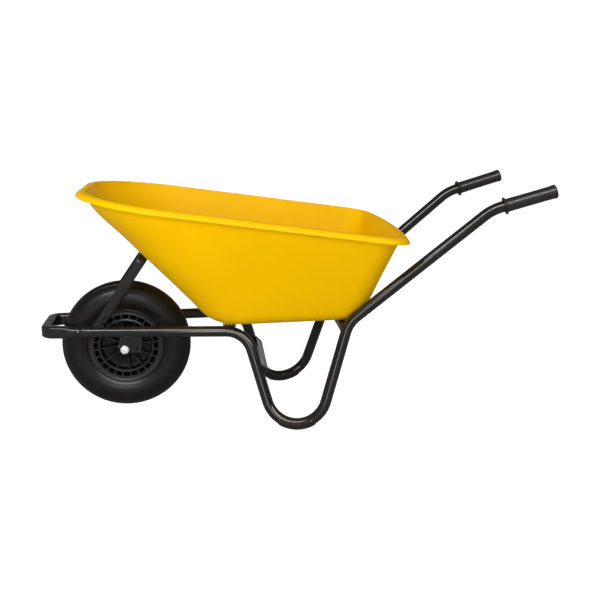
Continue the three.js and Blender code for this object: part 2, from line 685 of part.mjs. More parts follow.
// A flanged plain bush pressed into each end of the hub.
function hubBush(side) {
  const outer = rim.boreRadius - gap;
  const inner = (axle.radius + 0.06) / Math.cos(Math.PI / axle.facets);
  const { hubHalf } = rim;
  const profile = [
    [inner, hubHalf - 25], [outer, hubHalf - 25], [outer, hubHalf + gap], [20, hubHalf + gap],
    [20, bushEnd], [inner, bushEnd],
  ];
  return turned(profile, axleCentre, outwardOf(side), axle.facets);
}

// ---- assembly ----
const looks = {
  frame: { color: 0x2f2d2b, roughness: 0.25, metalness: 0.1 },
  tray: { color: 0xf2be00, roughness: 0.4, metalness: 0 },
  tyre: { color: 0x231f1d, roughness: 0.5, metalness: 0 },
  rim: { color: 0x2a2b2c, roughness: 0.5, metalness: 0 },
  grip: { color: 0x2b2626, roughness: 0.4, metalness: 0 },
  zinc: { color: 0xc9c9c4, roughness: 0.3, metalness: 1 },
  bush: { color: 0x8f8f88, roughness: 0.5, metalness: 0 },
  rubber: { color: 0x1c1b1b, roughness: 0.8, metalness: 0 },
};

const chassis = new THREE.Group();
const wheelGroup = new THREE.Group();

function addPiece(group, name, geometry, look) {
  geometry.computeVertexNormals();
  const mesh = new THREE.Mesh(geometry, new THREE.MeshStandardMaterial(looks[look]));
  mesh.name = name;
  group.add(mesh);
}

function addPair(group, name, build, look) {
  for (const [sideName, side] of Object.entries(sides)) {
    addPiece(group, `${name}_${sideName}`, build(side), look);
  }
}

addPair(chassis, 'frame_tube', sideTube, 'frame');
addPiece(chassis, 'front_bumper', frontBumper(), 'frame');
addPiece(chassis, 'front_strut', frontStrut(), 'frame');
addPair(chassis, 'axle_bracket', axleBracket, 'frame');
addPiece(chassis, 'leg_brace', legBrace(), 'frame');
addPiece(chassis, 'tray_support_front', traySupportFront(), 'frame');
addPiece(chassis, 'tray_support_rear', traySupportRear(), 'frame');
addPair(chassis, 'foot_shoe', footShoe, 'frame');
addPair(chassis, 'handle_grip', handleGrip, 'grip');
addPiece(chassis, 'tray', trayBody(), 'tray');
allSeats.forEach((seat, i) => {
  addPiece(chassis, `tray_bolt_${i + 1}`, trayBolt(seat), 'zinc');
  addPiece(chassis, `tray_washer_${i + 1}`, trayWasher(seat), 'zinc');
  addPiece(chassis, `tray_nut_${i + 1}`, trayNut(seat), 'zinc');
});
addPiece(chassis, 'axle', axleRod(), 'zinc');
addPair(chassis, 'axle_spacer', axleSpacer, 'zinc');
addPair(chassis, 'axle_washer', axleWasher, 'zinc');
addPair(chassis, 'axle_cap', axleCap, 'zinc');

addPiece(wheelGroup, 'tyre', tyreCasing(), 'tyre');
addPiece(wheelGroup, 'inner_tube', innerTube(), 'rubber');
addPiece(wheelGroup, 'valve_cap', valveCap(), 'rubber');
addPiece(wheelGroup, 'rim', wheelRim(), 'rim');
addPair(wheelGroup, 'hub_bush', hubBush, 'bush');

// The whole barrow is centred on x; y is symmetric and the ground is already z = 0.
const barrow = new THREE.Group();
barrow.add(chassis, wheelGroup);
const bounds = new THREE.Box3().setFromObject(barrow);
barrow.position.x = -(bounds.min.x + bounds.max.x) / 2;

export default barrow;
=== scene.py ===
"""A wheelbarrow's finished looks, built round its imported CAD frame.

Lengths are millimetres from the ground straight under the axle: +X towards the handles, +Y to the
right of a person who stands between them, +Z up. new_piece() turns them into the frame's metres.
"""
import math

import bmesh
import bpy
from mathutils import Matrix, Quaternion, Vector


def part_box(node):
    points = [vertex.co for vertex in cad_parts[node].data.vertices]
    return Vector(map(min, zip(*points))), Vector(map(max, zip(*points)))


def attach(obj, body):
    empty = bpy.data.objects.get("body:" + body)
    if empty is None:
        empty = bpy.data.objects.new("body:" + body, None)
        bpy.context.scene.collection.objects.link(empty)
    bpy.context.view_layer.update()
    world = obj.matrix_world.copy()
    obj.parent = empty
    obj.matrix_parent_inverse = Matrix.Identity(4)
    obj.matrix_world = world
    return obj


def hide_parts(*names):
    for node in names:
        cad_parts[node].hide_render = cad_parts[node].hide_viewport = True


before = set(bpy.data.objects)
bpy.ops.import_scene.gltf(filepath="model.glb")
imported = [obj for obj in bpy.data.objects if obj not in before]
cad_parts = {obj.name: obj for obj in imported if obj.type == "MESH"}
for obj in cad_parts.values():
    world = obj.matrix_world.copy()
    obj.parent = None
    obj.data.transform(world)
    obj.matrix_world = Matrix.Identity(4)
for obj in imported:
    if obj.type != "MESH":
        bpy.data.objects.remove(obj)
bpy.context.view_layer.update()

# ---- driving dimensions ----
GAP = 0.3
SIDES = {"left": -1, "right": 1}
UP = Vector((0, 0, 1))

TUBE_RADIUS = 16
TUBE_SIDES = 44
JOINT_X = -139                      # where each side tube takes the bumper's end
BUMPER = Vector((-232, 82, 246))    # corners of the right side tube's centre line
FRONT_BEND = Vector((358, 130.8, 267.5))
FOOT = Vector((512, 298, -193))
REAR_BEND = Vector((652, 208, 315))
GRIP_BEND = Vector((1041, 248, 659))
GRIP_END = Vector((1214, 262, 716))
SHOE_OUTER = 18.5

WHEEL_RADIUS = 195
TYRE_SECTION = 49.5
TYRE_CASING = 7.5
FLANGE_FACE = 40
SEAT_RADIUS = 101.7
WINDOWS = {"count": 24, "radius": 90.5, "length": 13, "width": 19.5}
RIB_COUNT = 12
FIRST_RIB = math.radians(21.2)
RING_RADIUS = 79
HUB_RADIUS = 24
VALVE_START = (112.7, 0)            # radius and y of the two ends of the valve stem
VALVE_END = (84.85, 46)
AXLE_RADIUS = 6

TRAY_FLOOR = {"rear": 708, "half": 176, "front_corner": 100, "rear_corner": 80}
TRAY_RIM = {"rear": 768, "half": 344, "front_corner": 240, "rear_corner": 56}
REAR_BOW = 32
TRAY_FRONT = [(0, 254), (0.17, 201), (0.38, 126), (0.69, 3), (0.93, -98), (1, -111)]  # level, x
TRAY_WALL = 5
TRAY_BASE = 4
TRAY_FILLET = 44
LIP_STRETCH = {"front": 1.45, "rear": 1.4}

STRUT_FOOT_X = -88
STRUT_WIDTH = 28
STRUT_DEPTH = 12
STRUT_WALL = 3
STRUT_TOP_X = 60


# ---- building closed meshes: every builder below returns (points, faces) ----
def skin(rings, looped=False):
    """Joins rings of equal length into a closed body; open ends get one flat face each."""
    count = len(rings[0])
    faces = []
    for i in range(len(rings) if looped else len(rings) - 1):
        here = i * count
        beyond = ((i + 1) % len(rings)) * count
        for k in range(count):
            k2 = (k + 1) % count
            faces.append((here + k, here + k2, beyond + k2, beyond + k))
    if not looped:
        last = (len(rings) - 1) * count
        faces.append(tuple(range(count)))
        faces.append(tuple(range(last, last + count)))
    return [point for ring in rings for point in ring], faces


def together(shells):
    """Several bodies as one."""
    points, faces = [], []
    for shell_points, shell_faces in shells:
        faces += [tuple(i + len(points) for i in face) for face in shell_faces]
        points += shell_points
    return points, faces


def soften(outline, radius, steps=4, closed=True):
    """Rounds the corners of an outline; radius is one number or one for each point."""
    radii = radius if isinstance(radius, (list, tuple)) else [radius] * len(outline)
    points = [Vector(point) for point in outline]
    rounded = []
    for i, corner in enumerate(points):
        if radii[i] == 0 or (not closed and i in (0, len(points) - 1)):
            rounded.append(corner)
            continue
        before = points[i - 1] - corner
        after = points[(i + 1) % len(points)] - corner
        start = corner + before.normalized() * min(radii[i], before.length * 0.48)
        end = corner + after.normalized() * min(radii[i], after.length * 0.48)
        for k in range(steps + 1):
            t = k / steps
            rounded.append(start * (1 - t) ** 2 + corner * (2 * t * (1 - t)) + end * t ** 2)
    return rounded


def filleted_path(corners, radii, steps):
    """Points and tangents along straight runs joined by arcs, one radius for each inner corner."""
    def along(i):
        return (corners[i + 1] - corners[i]).normalized()

    path = [(corners[0], along(0))]
    for i, radius in enumerate(radii):
        arriving, leaving = along(i), along(i + 1)
        turn = arriving.angle(leaving)
        axis = arriving.cross(leaving).normalized()
        inward = (leaving - arriving).normalized()
        centre = corners[i + 1] + inward * (radius / math.cos(turn / 2))
        for k in range(steps[i] + 1):
            tangent = Quaternion(axis, turn * k / steps[i]) @ arriving
            path.append((centre + tangent.cross(axis) * radius, tangent))
    path.append((corners[-1], along(len(corners) - 2)))
    return path


def subdivided(path, spacing):
    """The same path with more stations on its long straight runs."""
    finer = [path[0]]
    for (start, _), (end, tangent) in zip(path, path[1:]):
        count = max(1, math.ceil((end - start).length / spacing))
        finer += [(start.lerp(end, k / count), tangent) for k in range(1, count + 1)]
    return finer


def sweep(path, outline_at, start_up=UP):
    """Carries an outline of [across, up] pairs along a path; outline_at takes the distance gone."""
    up, gone, last = start_up, 0, path[0][0]
    rings = []
    for point, tangent in path:
        gone += (point - last).length
        last = point
        up = (up - tangent * up.dot(tangent)).normalized()
        across = tangent.cross(up)
        rings.append([point + across * a + up * b for a, b in outline_at(gone)])
    return rings


def circle(radius, count):
    turns = [2 * math.pi * k / count for k in range(count)]
    return [(radius * math.cos(turn), radius * math.sin(turn)) for turn in turns]


def rounded_rectangle(width, height, corner, steps=8):
    outline = []
    for quarter, (sign_x, sign_y) in enumerate([(1, 1), (-1, 1), (-1, -1), (1, -1)]):
        for k in range(steps + 1):
            turn = math.pi / 2 * (quarter + k / steps)
            outline.append((sign_x * (width / 2 - corner) + corner * math.cos(turn),
                            sign_y * (height / 2 - corner) + corner * math.sin(turn)))
    return outline


def turned(profile, base, axis, segments=48):
    """A body of revolution from [radius, height] pairs along an axis through base."""
    turn = UP.rotation_difference(axis)
    rings = []
    for k in range(segments):
        angle = 2 * math.pi * k / segments
        rings.append([turn @ Vector((r * math.cos(angle), r * math.sin(angle), h)) + base
                      for r, h in profile])
    return skin(rings, looped=True)


def block(centre, axes, size):
    """A box along three given directions; used only as a cutting tool."""
    corners = []
    for c in (-0.5, 0.5):
        for a, b in ((-0.5, -0.5), (0.5, -0.5), (0.5, 0.5), (-0.5, 0.5)):
            corners.append(centre + axes[0] * a * size[0] + axes[1] * b * size[1] + axes[2] * c * size[2])
    return skin([corners[:4], corners[4:]])


def rod(start, end, radius, count=40):
    tangent = (end - start).normalized()
    start_up = UP if abs(tangent.z) < 0.9 else Vector((1, 0, 0))
    return skin(sweep([(start, tangent), (end, tangent)], lambda _: circle(radius, count), start_up))


def weld(start, end, radius=2.6):
    """A rippled bead along a straight joint."""
    length = (end - start).length
    path = subdivided([(start, (end - start).normalized())] * 1 + [(end, (end - start).normalized())], 0.9)

    def outline(gone):
        ends = min(1, 0.25 + gone / 3, 0.25 + (length - gone) / 3)
        return circle(radius * ends * (1 + 0.09 * math.sin(gone * 2.1)), 12)
    return skin(sweep(path, outline, UP if abs(path[0][1].z) < 0.9 else Vector((1, 0, 0))))


def smooth_between(table, at):
    """A monotone cubic through [input, output] pairs."""
    xs, ys = zip(*table)
    secants = [(ys[i + 1] - ys[i]) / (xs[i + 1] - xs[i]) for i in range(len(xs) - 1)]
    inner = [2 * a * b / (a + b) for a, b in zip(secants, secants[1:])]
    slopes = [secants[0], *inner, secants[-1]]
    i = max(k for k in range(len(xs) - 1) if k == 0 or xs[k] <= at)
    width = xs[i + 1] - xs[i]
    t = (at - xs[i]) / width
    return ((2 * t ** 3 - 3 * t ** 2 + 1) * ys[i] + (t ** 3 - 2 * t ** 2 + t) * width * slopes[i]
            + (3 * t ** 2 - 2 * t ** 3) * ys[i + 1] + (t ** 3 - t ** 2) * width * slopes[i + 1])


def centre_of(node):
    """The middle of a CAD node's box, in this file's millimetres."""
    low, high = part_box(node)
    return ((low + high) / 2 - ORIGIN) * 1000


ORIGIN = sum(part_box("axle"), Vector()) / 2
ORIGIN.z = 0
AXLE = Vector((0, 0, WHEEL_RADIUS))
WHEEL_AXIS = Vector((0, 1, 0))


# ---- materials ----
def principled(name, colour, roughness, metallic=0.0, specular=0.5, coat=0.0):
    made = bpy.data.materials.new(name)
    made.use_nodes = True
    shader = made.node_tree.nodes["Principled BSDF"]
    shader.inputs["Base Color"].default_value = (*colour, 1)
    shader.inputs["Roughness"].default_value = roughness
    shader.inputs["Metallic"].default_value = metallic
    shader.inputs["Specular IOR Level"].default_value = specular
    shader.inputs["Coat Weight"].default_value = coat
    return made


def noise_node(made, scale, detail=3.0, stretch=(1, 1, 1)):
    """Noise over the object's own coordinates; scale is in cycles per metre."""
    nodes, links = made.node_tree.nodes, made.node_tree.links
    where = nodes.new("ShaderNodeTexCoord")
    mapping = nodes.new("ShaderNodeMapping")
    mapping.inputs["Scale"].default_value = stretch
    made_noise = nodes.new("ShaderNodeTexNoise")
    made_noise.inputs["Scale"].default_value = scale
    made_noise.inputs["Detail"].default_value = detail
    links.new(where.outputs["Object"], mapping.inputs["Vector"])
    links.new(mapping.outputs["Vector"], made_noise.inputs["Vector"])
    return made_noise.outputs["Fac"]


def vary_colour(made, dark, light, scale, detail=3.0, low=0.35, high=0.65):
    """Colour that drifts between two values with soft noise."""
    ramp = made.node_tree.nodes.new("ShaderNodeValToRGB")
    ramp.color_ramp.elements[0].position = low
    ramp.color_ramp.elements[0].color = (*dark, 1)
    ramp.color_ramp.elements[1].position = high
    ramp.color_ramp.elements[1].color = (*light, 1)
    links = made.node_tree.links
    links.new(noise_node(made, scale, detail), ramp.inputs["Fac"])
    links.new(ramp.outputs["Color"], made.node_tree.nodes["Principled BSDF"].inputs["Base Color"])


def vary_roughness(made, low, high, scale, detail=4.0):
    spread = made.node_tree.nodes.new("ShaderNodeMapRange")
    spread.inputs["From Min"].default_value = 0.3
    spread.inputs["From Max"].default_value = 0.7
    spread.inputs["To Min"].default_value = low
    spread.inputs["To Max"].default_value = high
    links = made.node_tree.links
    links.new(noise_node(made, scale, detail), spread.inputs["Value"])
    links.new(spread.outputs["Result"], made.node_tree.nodes["Principled BSDF"].inputs["Roughness"])


def add_bump(made, layers):
    """Fine relief from layers of (noise scale, height in metres, stretch)."""
    nodes, links = made.node_tree.nodes, made.node_tree.links
    below = None
    for scale, height, stretch in layers:
        bump = nodes.new("ShaderNodeBump")
        bump.inputs["Distance"].default_value = height
        links.new(noise_node(made, scale, 2.0, stretch), bump.inputs["Height"])
        if below:
            links.new(below, bump.inputs["Normal"])
        below = bump.outputs["Normal"]
    links.new(below, nodes["Principled BSDF"].inputs["Normal"])


EVEN = (1, 1, 1)


def tray_plastic():
    made = principled("tray_plastic", (0.89, 0.50, 0.0), 0.45, specular=0.04)
    vary_colour(made, (0.875, 0.49, 0.0), (0.905, 0.508, 0.0), 5)
    vary_roughness(made, 0.4, 0.52, 60)
    add_bump(made, [(260, 0.00003, EVEN), (1500, 0.00001, EVEN)])
    return made


def frame_paint():
    made = principled("frame_paint", (0.011, 0.010, 0.009), 0.16, specular=0.5)
    vary_colour(made, (0.009, 0.0082, 0.0075), (0.013, 0.012, 0.011), 14)
    vary_roughness(made, 0.12, 0.2, 40)
    add_bump(made, [(120, 0.000004, EVEN)])
    return made


def grip_plastic():
    made = principled("grip_plastic", (0.013, 0.011, 0.011), 0.34, specular=0.45)
    vary_colour(made, (0.011, 0.009, 0.009), (0.016, 0.0135, 0.0135), 35)
    vary_roughness(made, 0.29, 0.4, 150)
    add_bump(made, [(300, 0.000005, EVEN)])
    return made


def tyre_rubber():
    made = principled("tyre_rubber", (0.0045, 0.0037, 0.0032), 0.36, specular=0.36)
    vary_colour(made, (0.0038, 0.003, 0.0026), (0.0054, 0.0044, 0.0038), 24)
    vary_roughness(made, 0.33, 0.4, 60)
    add_bump(made, [(300, 0.000006, EVEN)])
    return made


def tube_rubber():
    made = principled("tube_rubber", (0.012, 0.012, 0.012), 0.7)
    vary_colour(made, (0.010, 0.010, 0.010), (0.016, 0.016, 0.015), 60)
    add_bump(made, [(1200, 0.00005, EVEN)])
    return made


def paint_recess_shade(made, deep, face, amount):
    """Paints shade into the colour towards the wheel's middle plane, from y = face down to y = deep, in metres:
    painted shade for the rim's deep web and recesses.
    """
    nodes, links = made.node_tree.nodes, made.node_tree.links
    shader = nodes["Principled BSDF"]
    where = nodes.new("ShaderNodeTexCoord")
    split = nodes.new("ShaderNodeSeparateXYZ")
    height = nodes.new("ShaderNodeMath")
    height.operation = "ABSOLUTE"
    level = nodes.new("ShaderNodeMapRange")
    level.inputs["From Min"].default_value = deep
    level.inputs["From Max"].default_value = face
    level.inputs["To Min"].default_value = amount
    shade = nodes.new("ShaderNodeVectorMath")
    shade.operation = "SCALE"
    links.new(where.outputs["Object"], split.inputs["Vector"])
    links.new(split.outputs["Y"], height.inputs[0])
    links.new(height.outputs["Value"], level.inputs["Value"])
    links.new(shader.inputs["Base Color"].links[0].from_socket, shade.inputs["Vector"])
    links.new(level.outputs["Result"], shade.inputs["Scale"])
    links.new(shade.outputs["Vector"], shader.inputs["Base Color"])


def rim_plastic():
    made = principled("rim_plastic", (0.014, 0.014, 0.0147), 0.36, specular=0.35)
    vary_colour(made, (0.012, 0.012, 0.0126), (0.0165, 0.0165, 0.0172), 30)
    # painted shade: the rim's colour drops to 0.15 of itself where |y| is under 26 mm, standing in for the shadow
    # deep in the web
    paint_recess_shade(made, 0.026, 0.034, 0.15)
    vary_roughness(made, 0.3, 0.4, 60)
    add_bump(made, [(300, 0.000008, EVEN)])
    return made


def zinc_plate():
    made = principled("zinc_plate", (0.86, 0.86, 0.85), 0.36, metallic=0.35)
    vary_colour(made, (0.8, 0.8, 0.79), (0.9, 0.9, 0.89), 120)
    vary_roughness(made, 0.3, 0.45, 300)
    add_bump(made, [(1400, 0.00003, EVEN)])
    return made


def bush_nylon():
    made = principled("bush_nylon", (0.30, 0.30, 0.28), 0.45)
    vary_colour(made, (0.27, 0.27, 0.25), (0.33, 0.33, 0.31), 80)
    add_bump(made, [(1000, 0.00004, EVEN)])
    return made


MATERIALS = {
    "tray_yellow": tray_plastic(), "frame_black": frame_paint(), "grip_black": grip_plastic(),
    "tyre_rubber": tyre_rubber(), "tube_rubber": tube_rubber(), "rim_black": rim_plastic(),
    "zinc_steel": zinc_plate(), "bush_grey": bush_nylon(),
}


# ---- turning meshes into pieces ----
def new_object(name, shell):
    points, faces = shell
    mesh = bpy.data.meshes.new(name)
    mesh.from_pydata([point / 1000 + ORIGIN for point in points], [], faces)
    made = bpy.data.objects.new(name, mesh)
    bpy.context.scene.collection.objects.link(made)
    tidy = bmesh.new()
    tidy.from_mesh(mesh)
    bmesh.ops.remove_doubles(tidy, verts=tidy.verts, dist=2e-6)
    bmesh.ops.dissolve_degenerate(tidy, edges=tidy.edges, dist=1e-6)
    bmesh.ops.recalc_face_normals(tidy, faces=tidy.faces)
    tidy.to_mesh(mesh)
    tidy.free()
    return made


def finish_piece(made, body, slot, replaces, sharp_deg=32):
    mesh = made.data
    mesh.polygons.foreach_set("use_smooth", [True] * len(mesh.polygons))
    mesh.set_sharp_from_angle(angle=math.radians(sharp_deg))
    mesh.materials.clear()
    mesh.materials.append(MATERIALS[slot])
    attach(made, body)
    if replaces:
        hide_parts(*replaces)
    return made


def new_piece(name, shell, body, slot, replaces=(), sharp_deg=32):
    return finish_piece(new_object(name, shell), body, slot, replaces, sharp_deg)


def subtract(made, cutters):
    """Cuts other bodies out of an object's mesh."""
    tools = [new_object("cutter", cutter) for cutter in cutters]
    for tool in tools:
        modifier = made.modifiers.new("cut", "BOOLEAN")
        modifier.operation = "DIFFERENCE"
        modifier.solver = "EXACT"
        modifier.object = tool
    apply_modifiers(made)
    for tool in tools:
        bpy.data.objects.remove(tool)


def apply_modifiers(made):
    bpy.context.view_layer.update()
    evaluated = made.evaluated_get(bpy.context.evaluated_depsgraph_get())
    mesh = bpy.data.meshes.new_from_object(evaluated)
    made.modifiers.clear()
    made.data = mesh


def bevel(made, width, segments=3, angle_deg=38):
    modifier = made.modifiers.new("edges", "BEVEL")
    modifier.width = width / 1000
    modifier.segments = segments
    modifier.limit_method = "ANGLE"
    modifier.angle_limit = math.radians(angle_deg)
    modifier.harden_normals = False
    apply_modifiers(made)


def bevelled_copy(node, slot, width, body="chassis", suffix="_edged"):
    """A CAD node's own shape with its flat faces merged and its edges rounded."""
    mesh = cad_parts[node].data.copy()
    made = bpy.data.objects.new(node + suffix, mesh)
    bpy.context.scene.collection.objects.link(made)
    clean = bmesh.new()
    clean.from_mesh(mesh)
    bmesh.ops.remove_doubles(clean, verts=clean.verts, dist=1e-6)
    bmesh.ops.dissolve_limit(clean, angle_limit=math.radians(1.5), verts=clean.verts, edges=clean.edges)
    clean.to_mesh(mesh)
    clean.free()
    bevel(made, width)
    return finish_piece(made, body, slot, (node,))


# ---- side tubes, bumper, shoes and grips ----
def on_side(point, side):
    return Vector((point.x, point.y * side, point.z))


def front_run(x):
    return BUMPER.lerp(FRONT_BEND, (x - BUMPER.x) / (FRONT_BEND.x - BUMPER.x))


def foot_radius():
    down = (FOOT - FRONT_BEND).normalized()
    rise = (REAR_BEND - FOOT).normalized()
    half = (math.pi - down.angle(rise)) / 2
    inward = (rise - down).normalized()
    flatness = math.sqrt(1 - down.cross(rise).normalized().z ** 2)
    return (SHOE_OUTER - FOOT.z) / (inward.z / math.sin(half) - flatness)


FOOT_STEPS = 42


def side_path(side):
    corners = [front_run(JOINT_X), FRONT_BEND, FOOT, REAR_BEND, GRIP_BEND, GRIP_END]
    radii = [80, foot_radius(), 90, 140]
    return filleted_path([on_side(corner, side) for corner in corners], radii, [14, FOOT_STEPS, 12, 12])


def side_tube(side):
    """The long bent tube, with a rolled-in end and a crimp where it takes the bumper."""
    path = side_path(side)
    start, along = path[0]
    crimp = [(0, 15.2), (0.8, 16), (6, 16), (8, 15.3), (10.5, 15.3), (12.5, 16)]
    stations = [(start + along * distance, along) for distance, _ in crimp]
    path = stations + subdivided([(start + along * 20, along)] + path[1:], 40)

    def outline(gone):
        inner = [i for i, (distance, _) in enumerate(crimp) if distance <= gone + 1e-4]
        return circle(crimp[inner[-1]][1] if gone < 12.6 else TUBE_RADIUS, TUBE_SIDES)
    return skin(sweep(path, outline))


def front_bumper():
    """Round where it meets the side tubes, pressed flat through the bends and across the nose."""
    end = front_run(JOINT_X - GAP)
    corners = [on_side(end, -1), on_side(BUMPER, -1), on_side(BUMPER, 1), on_side(end, 1)]
    path = subdivided(filleted_path(corners, [26, 26], [14, 14]), 4)
    total = sum((b[0] - a[0]).length for a, b in zip(path, path[1:]))

    def outline(gone):
        t = min(1, max(0, (min(gone, total - gone) - 4) / 44))
        t = t * t * (3 - 2 * t)
        return rounded_rectangle(32 - 4 * t, 32 + 4 * t, 16 - 8.5 * t)
    return skin(sweep(path, outline))


def foot_shoe(side):
    """A pressed half shell that follows the underside of the foot bend."""
    first = 14 + 2 + FOOT_STEPS // 2 - FOOT_STEPS * 3 // 14
    arc = side_path(side)[first:first + FOOT_STEPS * 3 // 7 + 1]
    axis = arc[0][1].cross(arc[-1][1]).normalized()
    wrap = math.radians(170)
    section = soften([(-wrap / 2, SHOE_OUTER), (wrap / 2, SHOE_OUTER)], 0)
    turns = [wrap * (k / 28 - 0.5) for k in range(29)]
    rings = []
    for i, (point, tangent) in enumerate(arc):
        outward = tangent.cross(axis)
        shrink = 1.2 if i in (0, len(arc) - 1) else 0
        outer = [(turn, SHOE_OUTER - shrink - (0.9 if abs(turn) > wrap / 2 - 0.03 else 0)) for turn in turns]
        inner = [(turn, TUBE_RADIUS + GAP) for turn in reversed(turns)]
        rings.append([point + outward * (r * math.cos(turn)) + axis * (r * math.sin(turn))
                      for turn, r in outer + inner])
    return skin(rings)


def handle_grip(side):
    end = on_side(GRIP_END, side)
    axis = (end - on_side(GRIP_BEND, side)).normalized()
    closed = GAP + 4
    start = closed - 152
    profile = [(0, GAP), (16.3, GAP), (16.3, start), (23.5, start), (25, start + 1.4), (25, start + 4),
               (23.5, start + 5.4), (20.2, start + 6.4), (19, start + 9), (18.7, start + 75), (19, closed - 12),
               (19.6, closed - 10), (20, closed - 8.5), (20, closed - 2.4), (18.2, closed - 0.4), (17, closed),
               (12, closed), (11.4, closed - 0.7), (10.6, closed - 0.7), (10, closed), (0, closed)]
    radii = [0, 0, 0.5, 1.2, 1.2, 1.2, 1, 2, 2.5, 20, 2, 1, 1, 1.6, 1, 0.4, 0.2, 0.2, 0.2, 0.2, 0]
    return turned([tuple(p) for p in soften(profile, radii, 3, closed=False)], end, axis, 56)


# ---- tray ----
def blend(a, b, t):
    return a + (b - a) * t


def floor_at(x):
    return 290 + 0.059 * (x - 325)


def rim_at(x):
    return 660 - 0.101 * x


def tray_ring(level, grow=0, lift=0):
    """The tray's outline in plan at a level, 0 for the floor and 1 for the rim."""
    stretch = LIP_STRETCH if grow > 0 else {"front": 1, "rear": 1}
    front = smooth_between(TRAY_FRONT, level) - grow * stretch["front"]
    rear = blend(TRAY_FLOOR["rear"], TRAY_RIM["rear"], level) + grow * stretch["rear"]
    half = blend(TRAY_FLOOR["half"], TRAY_RIM["half"], level) + grow
    front_radius = max(blend(TRAY_FLOOR["front_corner"], TRAY_RIM["front_corner"], level) + grow, 4)
    rear_radius = max(blend(TRAY_FLOOR["rear_corner"], TRAY_RIM["rear_corner"], level) + grow, 4)
    quarter = []
    for k in range(33):
        turn = math.pi / 2 * k / 32
        quarter.append((front + front_radius * (1 - math.cos(turn)), half - front_radius * (1 - math.sin(turn))))
    for k in range(1, 12):
        quarter.append((blend(front + front_radius, rear - rear_radius, k / 12), half))
    for k in range(17):
        turn = math.pi / 2 * k / 16
        quarter.append((rear - rear_radius * (1 - math.sin(turn)), half - rear_radius * (1 - math.cos(turn))))
    for k in range(1, 9):
        quarter.append((rear, (half - rear_radius) * (1 - k / 8.5)))
    bowed = []
    for x, y in quarter:
        nearness = max(0, (x - rear + rear_radius + 40) / (rear_radius + 40))
        bowed.append((x + REAR_BOW * level ** 2 * nearness * (1 - min(1, y / half) ** 2), y))
    mirrored = [(x, -y) for x, y in reversed(bowed)]
    return [Vector((x, y, blend(floor_at(x), rim_at(x), level) + lift)) for x, y in bowed + mirrored]


def fillet_rings(grow, lift):
    """The curve between floor and walls, after a narrow flat ring that keeps the floor's shading even."""
    inset = tray_ring(0, grow - TRAY_FILLET, lift)
    corner = tray_ring(0, grow, lift)
    wall = tray_ring(0.12, grow)
    rings = [tray_ring(0, grow - TRAY_FILLET - 8, lift), tray_ring(0, grow - TRAY_FILLET - 2, lift)]
    for k in range(13):
        t = k / 12
        rings.append([a * (1 - t) ** 2 + b * (2 * t * (1 - t)) + c * t ** 2
                      for a, b, c in zip(inset, corner, wall)])
    return rings


def rolled_lip():
    """The rim's section from the outside of the wall to the inside: a quarter round with a hollow under it."""
    turns = [math.pi / 2 * k / 14 for k in range(15)]
    under = [(12.4 * math.cos(t), -16 + 11.4 * math.sin(t)) for t in reversed(turns)]
    over = [(-2.5 + 18.5 * math.cos(t) ** 0.93, -16 + 16 * math.sin(t) ** 0.93) for t in turns]
    edge = soften([under[-1], (12.4, -16), (16, -16), over[1]], [0, 1.2, 1.2, 0], 3, closed=False)
    inner = soften([over[-1], (-5, 0), (-5, -5)], [0, 2.4, 0], 5, closed=False)
    return [(0, -7), *under[:-1], *edge, *over[2:-1], *inner]


def tray_shell():
    levels = [0.12 + 0.87 * k / 20 for k in range(1, 21)]
    outside = fillet_rings(0, 0) + [tray_ring(level) for level in levels[:-1]]
    inside = fillet_rings(-TRAY_WALL, TRAY_BASE) + [tray_ring(level, -TRAY_WALL) for level in levels[:-1]]
    return skin(outside + [tray_ring(1, grow, lift) for grow, lift in rolled_lip()] + inside[::-1])


def corner_rib(x, side):
    """A small moulded nub that hangs over the end of the front support."""
    base = floor_at(x)
    end = front_run(x).y + 10.6
    outline = soften([(end, base - 0.5), (end + 5, base - 0.5), (end + 12, base + 5), (end + 11, base + 7), (end, base + 4)],
                     [0.6, 1.6, 0.8, 0.5, 0.5], 3)
    return skin([[Vector((x + dx, side * y, z)) for y, z in outline] for dx in (-2.6, 2.6)])


# ---- front strut ----
def front_wall(x):
    """A point on the outside of the tray's front wall, and the way the wall faces there."""
    def at(level):
        edge = smooth_between(TRAY_FRONT, level)
        return Vector((edge, 0, blend(floor_at(edge), rim_at(edge), level)))
    bounds = next((a, b) for (a, xa), (b, xb) in zip(TRAY_FRONT, TRAY_FRONT[1:]) if xb <= x)
    low, high = at(bounds[0]), at(bounds[1])
    lean = (high - low).normalized()
    return low.lerp(high, (x - low.x) / (high.x - low.x)), Vector((-lean.z, 0, lean.x)).normalized()


def strut_layout():
    seat, outward = front_wall(STRUT_TOP_X)
    foot = front_run(STRUT_FOOT_X)
    rise = seat - foot
    rise.y = 0
    rise.normalize()
    normal = Vector((rise.z, 0, -rise.x))
    stand_off = GAP + STRUT_WIDTH / 2 * abs(normal.dot(outward))
    return foot, seat + outward * stand_off, rise, normal, outward


def tube_cutters(x):
    cutters = []
    for side in SIDES.values():
        along = (on_side(FRONT_BEND, side) - on_side(BUMPER, side)).normalized()
        middle = on_side(front_run(x), side)
        cutters.append(rod(middle - along * 60, middle + along * 60, TUBE_RADIUS + GAP, 64))
    return cutters


